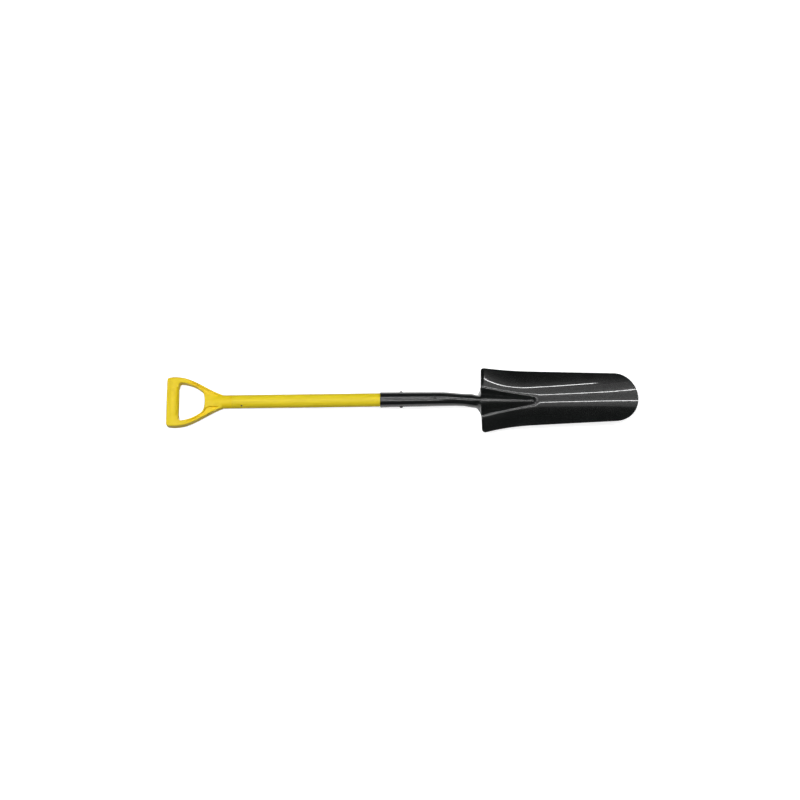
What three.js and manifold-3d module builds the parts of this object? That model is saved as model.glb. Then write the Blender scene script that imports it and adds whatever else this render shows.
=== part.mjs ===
// A long-bladed digging shovel with a D-grip: one steel pressing for blade and socket, a fibreglass
// shaft, a moulded grip, and the pins and rivets that hold them together.
// Every piece is modelled along the shaft: X runs from the grip to the tip, Y across, Z out of the
// blade's face, with the shaft's axis on Y = Z = 0. The whole tool is then laid on its back on Z = 0.
import * as THREE from 'three';
import { mergeVertices } from 'three/addons/utils/BufferGeometryUtils.js';
import Module from 'manifold-3d';

// ---- driving dimensions, millimetres ----
const OVERALL = 1220;
const GAP = 0.3;

const BLADE_LENGTH = 407;
const SHEET = 2;
const SHOULDER_WIDTH = 176;
const WAIST_WIDTH = 153;
const TIP_WIDTH = 127.5;
const FLARE_LENGTH = 130;
const DISH_AT_STEP = 35.5;
const DISH_AT_TIP = 15;
const SHOULDER_FLATTENING = 13;
const BLADE_DROP = 39;
const BLADE_LIFT = 24;

const STEP_REACH = 10;
const STEP_BEND = 9;
const STEP_ANGLE = 75;
const STEP_FADE = 22;
const STEP_CORNER = 4;

const FROG_LENGTH = 142;
const FROG_HALF_WIDTH = 38;
const FROG_NOSE = 7;
const FROG_BOW = 0.92;
const FROG_UNDER_AXIS = 8.4;
const BELL_AT_STEP = 1.2;
const BELL_REACH = 85;
const NECK_FILLET = 19;
const NECK_SWELL = 4;
const NECK_OPENS = 30;

const SOCKET_LENGTH = 261;
const SOCKET_BEND_FROM_STEP = 113;
const SOCKET_EASE = 0.7;
const SOCKET_TAPER = 3.2;
const NECK_OD = 33;
const NECK_FROM_STEP = 45;
const SEAM = 3;

const SHAFT_OD = 35;
const SHAFT_WALL = 3.6;
const SHAFT_PAST_BEND = 4;
const PLUG_LENGTH = 190;

const GRIP_WIDTH = 128;
const GRIP_BAR_OD = 31;
const GRIP_ARM_DEPTH = 28;
const GRIP_ARM_WIDTH = 14;
const GRIP_OPENING = 67;
const GRIP_CORNER = 12;
const GRIP_BULGE = 1.4;
const BAR_END_CHAMFER = 4;
const ARM_EDGE = 3;
const GRIP_WEB = 12;
const GRIP_FLANGE = 4;
const GRIP_BODY = 32;
const GRIP_FORK = 14;
const GRIP_CLOSING = 30;
const GRIP_COLLAR = 27;
const SPIGOT_LENGTH = 62;
const SPIGOT_CHAMFER = 3;
const GRIP_PIN_INSET = 25.5;
const GRIP_PIN_OD = 5;
const GRIP_PIN_TURN = 52;

const CROSS_RIVET_INSET = 54;
const FACE_RIVET_FROM_BEND = 8;
const RIVET_SHANK = 6;
const RIVET_HEAD = 9;
const RIVET_HEAD_HEIGHT = 2.6;

const PLATE_LAP = 8;
const PLATE_SHEET = 2;
const PLATE_START = 6;
const PLATE_MARGIN = 3;

// ---- places along the shaft, worked out from the sizes above ----
const TIP_X = OVERALL;
const STEP_X = OVERALL - BLADE_LENGTH;
const BEND_X = STEP_X + STEP_REACH;
const MOUTH_X = STEP_X - SOCKET_LENGTH;
const NECK_X = STEP_X - NECK_FROM_STEP;
const STRAIGHT_END_X = STEP_X - SOCKET_BEND_FROM_STEP;
const NOSE_X = STEP_X + FROG_LENGTH;
const CROSS_RIVET_X = MOUTH_X + CROSS_RIVET_INSET;
const FACE_RIVET_X = STRAIGHT_END_X - FACE_RIVET_FROM_BEND;
const FORK_X = GRIP_BAR_OD + GRIP_OPENING;
const GRIP_NECK_X = FORK_X + GRIP_FORK;
const ARMS_END_X = GRIP_NECK_X + GRIP_CLOSING;
const GRIP_NECK_END = ARMS_END_X + GRIP_COLLAR;
const SPIGOT_END_X = GRIP_NECK_END + SPIGOT_LENGTH;
const SHAFT_START_X = GRIP_NECK_END + GAP;
const PIN_X = GRIP_NECK_END + GRIP_PIN_INSET;
const SHAFT_END_X = STRAIGHT_END_X + SHAFT_PAST_BEND;
const SHAFT_BORE = SHAFT_OD - 2 * SHAFT_WALL;
const SOCKET_MOUTH_OD = SHAFT_OD + 2 * (SHEET + SOCKET_EASE);
const SPIGOT_OD = SHAFT_BORE - 2 * GAP;
const RIVET_HOLE = RIVET_SHANK + 2 * GAP;
const TIP_RADIUS = TIP_WIDTH / 2;
const TIP_CENTRE_X = TIP_X - TIP_RADIUS;

const wasm = await Module();
wasm.setup();

const material = (name, color, roughness, metalness) =>
  new THREE.MeshStandardMaterial({ name, color, roughness, metalness });
const BLACK_STEEL = material('black_steel', 0x1c1f20, 0.35, 0.6);
const YELLOW_FIBREGLASS = material('yellow_fibreglass', 0xe8cf2c, 0.45, 0);
const YELLOW_PLASTIC = material('yellow_plastic', 0xe6c81e, 0.5, 0);
const PLUG_WOOD = material('plug_wood', 0xb08a55, 0.8, 0);
const PIN_STEEL = material('pin_steel', 0x8a8c8c, 0.4, 1);

// ---- small helpers ----
const MERGE_WITHIN = 1e-4;
const mix = (a, b, t) => a + (b - a) * t;
const clamp01 = (t) => Math.min(1, Math.max(0, t));
const smooth = (t) => clamp01(t) ** 2 * (3 - 2 * clamp01(t));
const radians = THREE.MathUtils.degToRad;

function solidOf(geometry) {
  const bare = geometry.index ? geometry.toNonIndexed() : geometry.clone();
  bare.deleteAttribute('normal');
  bare.deleteAttribute('uv');
  const merged = mergeVertices(bare, MERGE_WITHIN);
  const vertProperties = new Float32Array(merged.attributes.position.array);
  const triVerts = new Uint32Array(merged.index.array);
  return new wasm.Manifold(new wasm.Mesh({ numProp: 3, vertProperties, triVerts }));
}

function geometryOf(solid) {
  const mesh = solid.getMesh();
  const geometry = new THREE.BufferGeometry();
  geometry.setAttribute('position', new THREE.BufferAttribute(new Float32Array(mesh.vertProperties), 3));
  geometry.setIndex(new THREE.BufferAttribute(new Uint32Array(mesh.triVerts), 1));
  geometry.computeVertexNormals();
  return geometry;
}

// A body of revolution about an axis, from [radius, distance along the axis] points on one side of it.
function turned(points, sides) {
  return new THREE.LatheGeometry(points.map(([r, d]) => new THREE.Vector2(r, d)), sides);
}
const alongX = (geometry) => geometry.rotateZ(-Math.PI / 2);
const alongZ = (geometry) => geometry.rotateX(Math.PI / 2);

// A plain rod of one diameter between two distances along its own axis.
const rod = (diameter, from, to, sides) => turned(
  [[0, from], [diameter / 2, from], [diameter / 2, to], [0, to]], sides);

// Rods through the tool for its cross rivet, its face rivet and the grip's pin.
const ROD_SIDES = 20;
const THROUGH = 2 * SOCKET_MOUTH_OD;
const crossRod = (diameter) => solidOf(
  rod(diameter, -THROUGH, THROUGH, ROD_SIDES).translate(CROSS_RIVET_X, 0, 0));
const faceRod = (diameter) => solidOf(
  alongZ(rod(diameter, -THROUGH, THROUGH, ROD_SIDES)).translate(FACE_RIVET_X, 0, 0));
const pinRod = (diameter, reach) => solidOf(
  alongZ(rod(diameter, -reach, reach, ROD_SIDES)).rotateX(radians(GRIP_PIN_TURN)).translate(PIN_X, 0, 0));

// ---- socket and neck ----
// Outer diameter of the rolled socket at a distance x along the shaft.
function socketOd(x) {
  if (x < STRAIGHT_END_X) {
    return SOCKET_MOUTH_OD - SOCKET_TAPER * (x - MOUTH_X) / (STRAIGHT_END_X - MOUTH_X);
  }
  const t = (x - STRAIGHT_END_X) / (NECK_X - STRAIGHT_END_X);
  return mix(SOCKET_MOUTH_OD - SOCKET_TAPER, NECK_OD, smooth(t));
}

const bladeBottom = (x) => -BLADE_DROP + BLADE_LIFT * (x - STEP_X) / BLADE_LENGTH;

// Height of the front line of the socket, neck and frog.
function frontLine(x) {
  const top = (socketOd(Math.min(x, STRAIGHT_END_X)) - SHEET) / 2;
  if (x <= STRAIGHT_END_X) return top;
  const low = -FROG_UNDER_AXIS;
  if (x >= STEP_X) return mix(low, bladeBottom(NOSE_X), clamp01((x - STEP_X) / FROG_LENGTH));
  const span = STEP_X - STRAIGHT_END_X;
  const u = (x - STRAIGHT_END_X) / span;
  const endSlope = (bladeBottom(NOSE_X) - low) / FROG_LENGTH;
  const curve = (2 * u ** 3 - 3 * u ** 2 + 1) * top + (3 * u ** 2 - 2 * u ** 3) * low;
  return curve + (u ** 3 - u ** 2) * span * endSlope;
}

// ---- blade outline and dish ----
function halfWidth(x) {
  const along = x - STEP_X;
  const straight = mix(WAIST_WIDTH, TIP_WIDTH, along / (BLADE_LENGTH - TIP_RADIUS)) / 2;
  const flare = (SHOULDER_WIDTH - WAIST_WIDTH) / 2 * clamp01(1 - along / FLARE_LENGTH) ** 2;
  return straight + flare;
}

// How fast the blade's section turns up from its middle: its height is this times y squared.
function dishCurve(x) {
  const along = x - STEP_X;
  const flattening = SHOULDER_FLATTENING * clamp01(1 - along / FLARE_LENGTH) ** 2;
  const depth = mix(DISH_AT_STEP, DISH_AT_TIP, along / BLADE_LENGTH) - flattening;
  return depth / halfWidth(Math.min(x, TIP_CENTRE_X)) ** 2;
}
const dish = (x, y) => bladeBottom(x) + dishCurve(x) * y ** 2;

const TIP_CREASE = TIP_RADIUS / 4;

// Half width of the frog between its two creases, and of the sheet where the neck opens into it.
function creaseWidth(x) {
  if (x >= NOSE_X) return mix(FROG_NOSE, TIP_CREASE, smooth((x - NOSE_X) / (TIP_X - NOSE_X)));
  if (x >= STEP_X) return mix(FROG_HALF_WIDTH, FROG_NOSE, ((x - STEP_X) / FROG_LENGTH) ** FROG_BOW);
  const back = Math.min(NECK_FILLET, STEP_X - x);
  const round = NECK_FILLET - Math.sqrt(NECK_FILLET ** 2 - (NECK_FILLET - back) ** 2);
  return FROG_HALF_WIDTH - NECK_FILLET + round;
}

// Half width of the frog's round top, which widens steadily while its edges sweep out to the steps.
function crownWidth(x) {
  const reach = 2 * NECK_FILLET;
  if (x > STEP_X + reach) return creaseWidth(x);
  const start = FROG_HALF_WIDTH - NECK_FILLET;
  return mix(start, creaseWidth(STEP_X + reach), smooth((x - STEP_X + reach) / (2 * reach)));
}

// A point of the sheet's middle surface between the creases, v from -1 to 1 across it.
function stripPoint(x, v) {
  const even = smooth((x - NECK_X) / (NECK_FROM_STEP + NECK_FILLET));
  const spread = mix(Math.sin(v * Math.PI / 2), v, even);
  const archY = spread * crownWidth(x) + (creaseWidth(x) - crownWidth(x)) * v * Math.abs(v) ** 3;
  const rise = Math.max(0, frontLine(x) - bladeBottom(x));
  const foot = dish(Math.max(x, STEP_X), archY);
  const bell = mix(1, BELL_AT_STEP, smooth(1 - Math.abs(x - STEP_X) / BELL_REACH));
  const arch = [archY, foot + rise * Math.cos(v * Math.PI / 2) ** bell];
  const open = smooth((x - STEP_X + NECK_OPENS) / NECK_OPENS);
  const radius = (socketOd(x) - SHEET) / 2 + NECK_SWELL * smooth((x - NECK_X) / NECK_FROM_STEP);
  const turn = v * (Math.PI - SEAM / 2 / radius);
  const tube = [radius * Math.sin(turn), frontLine(x) - radius + radius * Math.cos(turn)];
  return new THREE.Vector3(x, mix(tube[0], arch[0], open), mix(tube[1], arch[1], open));
}

// ---- a sheet of even thickness about a grid of middle points ----
// grid[j][i] is a point or null; a cell exists where its four corners do.
function sheetGeometry(grid, thickness) {
  const ids = new Map();
  const middle = [];
  grid.forEach((row, j) => row.forEach((point, i) => {
    if (!point) return;
    ids.set(`${j}/${i}`, middle.length);
    middle.push(point);
  }));
  const quads = [];
  for (let j = 0; j + 1 < grid.length; j += 1) {
    for (let i = 0; i + 1 < grid[j].length; i += 1) {
      const ring = [[j, i], [j, i + 1], [j + 1, i + 1], [j + 1, i]].map(([a, b]) => ids.get(`${a}/${b}`));
      if (ring.every((id) => id !== undefined)) quads.push(ring);
    }
  }
  const normals = middle.map(() => new THREE.Vector3());
  for (const ring of quads) {
    const [a, b, c, d] = ring.map((id) => middle[id]);
    const face = c.clone().sub(a).cross(d.clone().sub(b)).normalize();
    ring.forEach((id) => normals[id].add(face));
  }
  normals.forEach((normal) => normal.normalize());
  const count = middle.length;
  const place = (id, side) => middle[id].clone().addScaledVector(normals[id], side * thickness / 2);
  const points = [...middle.map((_, id) => place(id, 1)), ...middle.map((_, id) => place(id, -1))];
  const triangles = [];
  const edges = new Map();
  for (const [a, b, c, d] of quads) {
    triangles.push([a, b, c], [a, c, d]);
    triangles.push([a + count, c + count, b + count], [a + count, d + count, c + count]);
    [[a, b], [b, c], [c, d], [d, a]].forEach(([p, q]) => edges.set(`${p}/${q}`, [p, q]));
  }
  for (const [p, q] of edges.values()) {
    if (edges.has(`${q}/${p}`)) continue;
    triangles.push([q, p, p + count], [q, p + count, q + count]);
  }
  const geometry = new THREE.BufferGeometry();
  geometry.setFromPoints(points);
  geometry.setIndex(triangles.flat());
  return geometry;
}

const STRIP_CELLS = 24;
const WING_CELLS = 7;
const LAST_TIP_ANGLE = 48;
const WIDEST_CREASE = 0.4;

// Where a line of the blade's grid bends round towards the tip: 0 is straight across, 1 is the tip itself.
function tipRow(share) {
  const angle = radians(mix(90, LAST_TIP_ANGLE, share));
  const edgeX = TIP_CENTRE_X + TIP_RADIUS * Math.cos(angle);
  const edgeY = TIP_RADIUS * Math.sin(angle);
  return { edgeX, edgeY, bulge: mix(TIP_CENTRE_X, TIP_X, share) - edgeX };
}

function bladeRow(x, edgeY, bulge) {
  const line = [];
  const bowRadius = bulge > 0 ? (edgeY ** 2 + bulge ** 2) / (2 * bulge) : Infinity;
  const crease = Math.min(creaseWidth(x), edgeY * WIDEST_CREASE);
  for (let i = -WING_CELLS - STRIP_CELLS / 2; i <= WING_CELLS + STRIP_CELLS / 2; i += 1) {
    const side = Math.sign(i);
    const wing = Math.abs(i) - STRIP_CELLS / 2;
    const y = wing > 0 ? side * mix(crease, edgeY, wing / WING_CELLS) : crease * i / (STRIP_CELLS / 2);
    const bow = bulge > 0 ? bulge - (bowRadius - Math.sqrt(bowRadius ** 2 - y ** 2)) : 0;
    const px = x + bow;
    const onFrog = wing <= 0 && px < NOSE_X;
    line.push(onFrog ? stripPoint(px, i / (STRIP_CELLS / 2)) : new THREE.Vector3(px, y, dish(px, y)));
  }
  return line;
}

// The foot step: the sheet above the bend, curled out of the blade's face, less and less near the frog.
function stepRow(x) {
  const share = (BEND_X - x) / STEP_REACH;
  const corner = STEP_CORNER * (1 - Math.sqrt(1 - share ** 2));
  const edgeY = halfWidth(BEND_X) - corner;
  return bladeRow(x, edgeY, 0).map((point, index) => {
    const wing = Math.abs(index - WING_CELLS - STRIP_CELLS / 2) - STRIP_CELLS / 2;
    if (wing <= 0) return point;
    const fade = smooth((Math.abs(point.y) - creaseWidth(x)) / STEP_FADE);
    const curl = radians(STEP_ANGLE) * share;
    const bendX = BEND_X - mix(STEP_REACH * share, STEP_BEND * Math.sin(curl), fade);
    const lift = fade * STEP_BEND * (1 - Math.cos(curl));
    const lean = Math.atan(2 * dishCurve(BEND_X) * point.y);
    const y = point.y - lift * Math.sin(lean);
    return new THREE.Vector3(bendX, y, dish(BEND_X, point.y) + lift * Math.cos(lean));
  });
}

// A line of the grid above the blade, where only the sheet that rolls into the socket goes on.
function socketRow(x) {
  const line = [];
  for (let i = -WING_CELLS - STRIP_CELLS / 2; i <= WING_CELLS + STRIP_CELLS / 2; i += 1) {
    const v = i / (STRIP_CELLS / 2);
    line.push(Math.abs(v) <= 1 ? stripPoint(x, v) : null);
  }
  return line;
}

function steps(from, to, count) {
  return Array.from({ length: count }, (_, k) => mix(from, to, k / count));
}

const ROWS = { socket: 4, neck: 7, fillet: 6, step: 4, frog: 12, below: 6, tip: 7 };

function bladeGeometry() {
  const grid = [];
  steps(MOUTH_X, STRAIGHT_END_X, ROWS.socket).forEach((x) => grid.push(socketRow(x)));
  steps(STRAIGHT_END_X, STEP_X - NECK_FILLET, ROWS.neck).forEach((x) => grid.push(socketRow(x)));
  steps(0, Math.PI / 2, ROWS.fillet).forEach((swing) => {
    grid.push(socketRow(STEP_X - NECK_FILLET * (1 - Math.sin(swing))));
  });
  steps(STEP_X, BEND_X, ROWS.step).forEach((x) => grid.push(stepRow(x)));
  steps(BEND_X, NOSE_X, ROWS.frog).forEach((x) => grid.push(bladeRow(x, halfWidth(x), 0)));
  steps(NOSE_X, TIP_CENTRE_X, ROWS.below).forEach((x) => grid.push(bladeRow(x, halfWidth(x), 0)));
  for (let k = 0; k <= ROWS.tip; k += 1) {
    const { edgeX, edgeY, bulge } = tipRow(k / ROWS.tip);
    grid.push(bladeRow(edgeX, edgeY, bulge));
  }
  return sheetGeometry(grid, SHEET);
}

const blade = () => solidOf(bladeGeometry()).subtract(crossRod(RIVET_HOLE)).subtract(faceRod(RIVET_HOLE));

// ---- plate over the hollow behind the frog ----
const PLATE_UNDER = SHEET / 2 + GAP + PLATE_SHEET / 2;
const PLATE_ROWS = 16;
const PLATE_CELLS = 14;

// Half width of the plate, which closes in a round end just past the frog's nose.
function plateHalf(x) {
  const end = clamp01((x - NOSE_X + PLATE_LAP) / (2 * PLATE_LAP + PLATE_MARGIN));
  return (creaseWidth(Math.min(x, NOSE_X)) + PLATE_LAP) * Math.sqrt(1 - end ** 2);
}

function backPlate() {
  const grid = [];
  for (let k = 0; k <= PLATE_ROWS; k += 1) {
    const x = mix(BEND_X + PLATE_START, NOSE_X + PLATE_LAP, Math.sin(k / PLATE_ROWS * Math.PI / 2));
    const line = [];
    for (let i = -PLATE_CELLS / 2; i <= PLATE_CELLS / 2; i += 1) {
      const y = plateHalf(x) * i / (PLATE_CELLS / 2);
      line.push(new THREE.Vector3(x, y, dish(x, y) - PLATE_UNDER));
    }
    grid.push(line);
  }
  return solidOf(sheetGeometry(grid, PLATE_SHEET));
}

// ---- shaft and plug ----
const SHAFT_SIDES = 40;
const insideSocket = (x) => (socketOd(x) - 2 * SHEET) / 2 - 2 * GAP;

// The fibreglass tube, its end eased down where the socket narrows round it.
function shaft() {
  const inner = SHAFT_BORE / 2;
  const outline = [[inner, SHAFT_START_X], [SHAFT_OD / 2, SHAFT_START_X]];
  steps(MOUTH_X - SHEET, SHAFT_END_X, ROWS.socket).forEach((x) => {
    outline.push([Math.min(SHAFT_OD / 2, insideSocket(Math.max(x, MOUTH_X))), x]);
  });
  outline.push([Math.min(SHAFT_OD / 2, insideSocket(SHAFT_END_X)), SHAFT_END_X]);
  outline.push([inner, SHAFT_END_X], [inner, SHAFT_START_X]);
  return solidOf(alongX(turned(outline, SHAFT_SIDES)))
    .subtract(crossRod(RIVET_HOLE))
    .subtract(faceRod(RIVET_HOLE))
    .subtract(pinRod(GRIP_PIN_OD + 2 * GAP, SHAFT_OD));
}

const shaftPlug = () => solidOf(alongX(rod(SPIGOT_OD, SHAFT_END_X - PLUG_LENGTH, SHAFT_END_X, SHAFT_SIDES)))
  .subtract(crossRod(RIVET_HOLE))
  .subtract(faceRod(RIVET_HOLE));

// ---- rivets and pin ----
const HEAD_ARCS = 5;

// A rivet about the origin with a domed head at each end, its heads seated at one distance out.
function rivet(seat) {
  const radius = ((RIVET_HEAD / 2) ** 2 + RIVET_HEAD_HEIGHT ** 2) / (2 * RIVET_HEAD_HEIGHT);
  const half = Math.asin(RIVET_HEAD / 2 / radius);
  const dome = steps(half, 0, HEAD_ARCS).map((angle) => [
    radius * Math.sin(angle),
    seat + RIVET_HEAD_HEIGHT - radius * (1 - Math.cos(angle)),
  ]);
  const top = [[RIVET_SHANK / 2, 0], [RIVET_SHANK / 2, seat], ...dome, [0, seat + RIVET_HEAD_HEIGHT]];
  const bottom = top.slice(1).reverse().map(([r, d]) => [r, -d]);
  return solidOf(turned([...bottom, ...top], ROD_SIDES));
}

const seatAt = (x) => socketOd(x) / 2 + GAP;
const crossRivet = () => rivet(seatAt(CROSS_RIVET_X)).translate([CROSS_RIVET_X, 0, 0]);
const faceRivet = () => rivet(seatAt(FACE_RIVET_X)).rotate([90, 0, 0]).translate([FACE_RIVET_X, 0, 0]);
const gripPin = () => pinRod(GRIP_PIN_OD, SHAFT_OD / 2 - GAP);

// ---- grip ----
// One side of the D's plan, from the bar's end to the neck, as the last three points of each curve.
function gripSide(half, neck, inset) {
  const at = (along, inward) => [mix(GRIP_BAR_OD, FORK_X, along), mix(half, neck, inward)];
  return [
    [[inset, half - GRIP_CORNER / 3], [inset, half], [inset + GRIP_CORNER * 3 / 4, half]],
    [[GRIP_BAR_OD / 2, half + GRIP_BULGE], [GRIP_BAR_OD, half + GRIP_BULGE], at(0.1, 0)],
    [at(0.34, 0.06), at(0.49, 0.16), at(0.7, 0.3)],
    [at(1, 0.52), [mix(FORK_X, ARMS_END_X, 0.5), mix(half, neck, 0.83)], [ARMS_END_X, neck]],
  ];
}

// Plan outline of the D, drawn in by an inset: up one side and back down the other.
function gripOutline(inset) {
  const half = GRIP_WIDTH / 2 - inset;
  const side = gripSide(half, SHAFT_OD / 2 - inset, inset);
  const start = [inset, half - GRIP_CORNER];
  const shape = new THREE.Shape();
  shape.moveTo(start[0], -start[1]);
  shape.lineTo(...start);
  side.forEach((curve) => shape.bezierCurveTo(...curve.flat()));
  shape.lineTo(ARMS_END_X, -side.at(-1)[2][1]);
  [...side].reverse().forEach(([a, b], k) => {
    const to = k < side.length - 1 ? side[side.length - 2 - k][2] : start;
    shape.bezierCurveTo(b[0], -b[1], a[0], -a[1], to[0], -to[1]);
  });
  return shape;
}

// The hand opening, grown by a margin, between the bar's middle line and the fork of the arms.
function openingOutline(grow) {
  const half = GRIP_WIDTH / 2 - GRIP_ARM_WIDTH + grow;
  const from = GRIP_BAR_OD / 2 - grow;
  const at = (along, out) => [mix(GRIP_BAR_OD, FORK_X + grow, along), half * out];
  const shape = new THREE.Shape();
  shape.moveTo(from, half);
  shape.lineTo(...at(0.1, 1));
  shape.bezierCurveTo(...at(0.36, 0.98), ...at(0.67, 0.8), ...at(0.9, 0.54));
  shape.bezierCurveTo(...at(0.98, 0.4), ...at(1, 0.18), ...at(1, 0));
  shape.bezierCurveTo(...at(1, -0.18), ...at(0.98, -0.4), ...at(0.9, -0.54));
  shape.bezierCurveTo(...at(0.67, -0.8), ...at(0.36, -0.98), ...at(0.1, -1));
  shape.lineTo(from, -half);
  return shape;
}

const OUTLINE_CELLS = 8;
const BEVEL_CELLS = 2;

function slab(shape, depth, bevel) {
  const geometry = new THREE.ExtrudeGeometry(shape, {
    depth: depth - 2 * bevel,
    bevelEnabled: bevel > 0,
    bevelSize: bevel,
    bevelThickness: bevel,
    bevelOffset: -bevel,
    bevelSegments: BEVEL_CELLS,
    curveSegments: OUTLINE_CELLS,
  });
  return solidOf(geometry.translate(0, 0, -depth / 2 + bevel));
}

// A box from one distance along the tool to another, centred across it and through it.
function block(from, to, width, depth) {
  const box = new THREE.BoxGeometry(to - from, width, depth);
  return solidOf(box.translate((from + to) / 2, 0, 0));
}

function gripBar() {
  const half = GRIP_WIDTH / 2 - BAR_END_CHAMFER / 2;
  const radius = GRIP_BAR_OD / 2;
  const profile = [[0, -half], [radius - BAR_END_CHAMFER, -half], [radius, BAR_END_CHAMFER - half],
    [radius, half - BAR_END_CHAMFER], [radius - BAR_END_CHAMFER, half], [0, half]];
  return solidOf(turned(profile, SHAFT_SIDES).translate(radius, 0, 0));
}

function gripNeck() {
  const spigot = SPIGOT_OD / 2;
  return solidOf(alongX(turned([
    [0, GRIP_NECK_X],
    [GRIP_ARM_DEPTH / 2, GRIP_NECK_X],
    [SHAFT_OD / 2, ARMS_END_X],
    [SHAFT_OD / 2, GRIP_NECK_END],
    [spigot, GRIP_NECK_END],
    [spigot, SPIGOT_END_X - SPIGOT_CHAMFER],
    [spigot - SPIGOT_CHAMFER, SPIGOT_END_X],
    [0, SPIGOT_END_X],
  ], SHAFT_SIDES)));
}

// The hollows on both sides of the arms, between their outer flange, inner flange and the neck's body.
function gripPockets() {
  const deep = 2 * GRIP_ARM_DEPTH;
  return slab(gripOutline(GRIP_FLANGE), GRIP_ARM_DEPTH, 0)
    .subtract(slab(openingOutline(GRIP_FLANGE), deep, 0))
    .intersect(block(GRIP_BAR_OD + GRIP_FLANGE, ARMS_END_X, GRIP_WIDTH, deep))
    .subtract(block(0, OVERALL, GRIP_WIDTH, GRIP_WEB))
    .subtract(block(FORK_X - GRIP_FLANGE, OVERALL, GRIP_BODY, deep));
}

function grip() {
  return slab(gripOutline(0), GRIP_ARM_DEPTH, ARM_EDGE)
    .subtract(slab(openingOutline(0), 2 * GRIP_ARM_DEPTH, 0))
    .subtract(gripPockets())
    .add(gripBar())
    .add(gripNeck())
    .subtract(pinRod(GRIP_PIN_OD + 2 * GAP, SHAFT_OD));
}

// ---- assembly ----
function piece(name, solid, look) {
  const mesh = new THREE.Mesh(geometryOf(solid), look);
  mesh.name = name;
  return mesh;
}

const tool = new THREE.Group();
tool.add(
  piece('blade', blade(), BLACK_STEEL),
  piece('back_plate', backPlate(), BLACK_STEEL),
  piece('shaft', shaft(), YELLOW_FIBREGLASS),
  piece('shaft_plug', shaftPlug(), PLUG_WOOD),
  piece('grip', grip(), YELLOW_PLASTIC),
  piece('grip_pin', gripPin(), PIN_STEEL),
  piece('socket_cross_rivet', crossRivet(), BLACK_STEEL),
  piece('socket_face_rivet', faceRivet(), BLACK_STEEL),
);

// The tool lies on its back: it is turned until the grip's bar and the lowest part of the blade are level.
function lowestUnder(angle) {
  const turn = new THREE.Matrix4().makeRotationY(angle);
  const low = { front: Infinity, back: Infinity };
  const box = new THREE.Box3();
  const point = new THREE.Vector3();
  tool.children.forEach((mesh) => {
    const places = mesh.geometry.attributes.position;
    for (let k = 0; k < places.count; k += 1) {
      point.fromBufferAttribute(places, k);
      const side = point.x < MOUTH_X ? 'back' : 'front';
      point.applyMatrix4(turn);
      low[side] = Math.min(low[side], point.z);
      box.expandByPoint(point);
    }
  });
  return { low, box };
}

const LEVELLING_ROUNDS = 8;
let pitch = 0;
for (let k = 0; k < LEVELLING_ROUNDS; k += 1) {
  const { low } = lowestUnder(pitch);
  pitch += Math.atan2(low.front - low.back, STEP_X);
}
const { box } = lowestUnder(pitch);
tool.rotation.y = pitch;
tool.position.set(-(box.min.x + box.max.x) / 2, 0, -box.min.z);

const shovel = new THREE.Group();
shovel.add(tool);
shovel.updateMatrixWorld(true);
export default shovel;
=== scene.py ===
"""A digging shovel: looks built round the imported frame, seen from above as it lies on its back."""
import math
from itertools import product

import bpy
import numpy as np
from mathutils import Matrix, Vector


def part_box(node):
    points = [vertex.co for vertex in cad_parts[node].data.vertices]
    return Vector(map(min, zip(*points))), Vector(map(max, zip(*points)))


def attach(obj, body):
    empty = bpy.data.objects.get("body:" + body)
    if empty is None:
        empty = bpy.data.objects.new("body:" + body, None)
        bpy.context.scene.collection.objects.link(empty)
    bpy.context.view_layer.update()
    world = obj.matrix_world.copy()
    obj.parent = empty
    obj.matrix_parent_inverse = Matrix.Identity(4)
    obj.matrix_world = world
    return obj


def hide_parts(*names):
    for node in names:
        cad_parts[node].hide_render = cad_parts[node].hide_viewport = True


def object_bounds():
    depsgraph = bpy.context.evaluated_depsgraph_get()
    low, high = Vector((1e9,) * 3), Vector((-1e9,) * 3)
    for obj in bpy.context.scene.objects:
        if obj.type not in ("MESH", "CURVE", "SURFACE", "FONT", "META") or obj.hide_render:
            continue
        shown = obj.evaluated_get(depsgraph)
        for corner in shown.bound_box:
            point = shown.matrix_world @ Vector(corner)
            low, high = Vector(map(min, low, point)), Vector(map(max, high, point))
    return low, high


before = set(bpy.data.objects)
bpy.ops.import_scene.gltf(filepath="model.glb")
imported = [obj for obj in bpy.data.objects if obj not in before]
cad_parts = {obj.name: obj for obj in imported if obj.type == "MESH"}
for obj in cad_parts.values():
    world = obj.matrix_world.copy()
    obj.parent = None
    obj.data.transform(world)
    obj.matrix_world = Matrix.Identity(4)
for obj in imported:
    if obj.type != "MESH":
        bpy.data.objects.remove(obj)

cad_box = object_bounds()
scene = bpy.context.scene
MM = 0.001

# ---- sizes of the tool, in millimetres along the shaft from the grip's far end ----
OVERALL = 1220
BLADE_LENGTH = 407
SHEET = 2
SHOULDER_WIDTH, WAIST_WIDTH, TIP_WIDTH = 176, 153, 127.5
FLARE_LENGTH = 130
DISH_AT_STEP, DISH_AT_TIP, SHOULDER_FLATTENING = 35.5, 15, 13
BLADE_DROP, BLADE_LIFT = 39, 24
STEP_REACH, STEP_BEND, STEP_ANGLE = 10, 9, 75
STEP_FADE, STEP_CORNER = 22, 4
FROG_LENGTH, FROG_HALF_WIDTH, FROG_NOSE, FROG_BOW = 142, 38, 7, 0.92
FROG_UNDER_AXIS = 8.4
CREASE_SOFTNESS, NOSE_RISE = 2.8, 3.5
BELL_AT_NECK, BELL_AT_STEP, BELL_REACH = 0.5, 1.2, 85
NECK_FILLET = 19
NECK_SWELL, NECK_OPENS = 4, 30
SOCKET_LENGTH, SOCKET_BEND_FROM_STEP, SOCKET_EASE, SOCKET_TAPER = 261, 113, 0.7, 3.2
NECK_OD, NECK_FROM_STEP = 33, 45
SEAM = 3
GAP = 0.3
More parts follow.
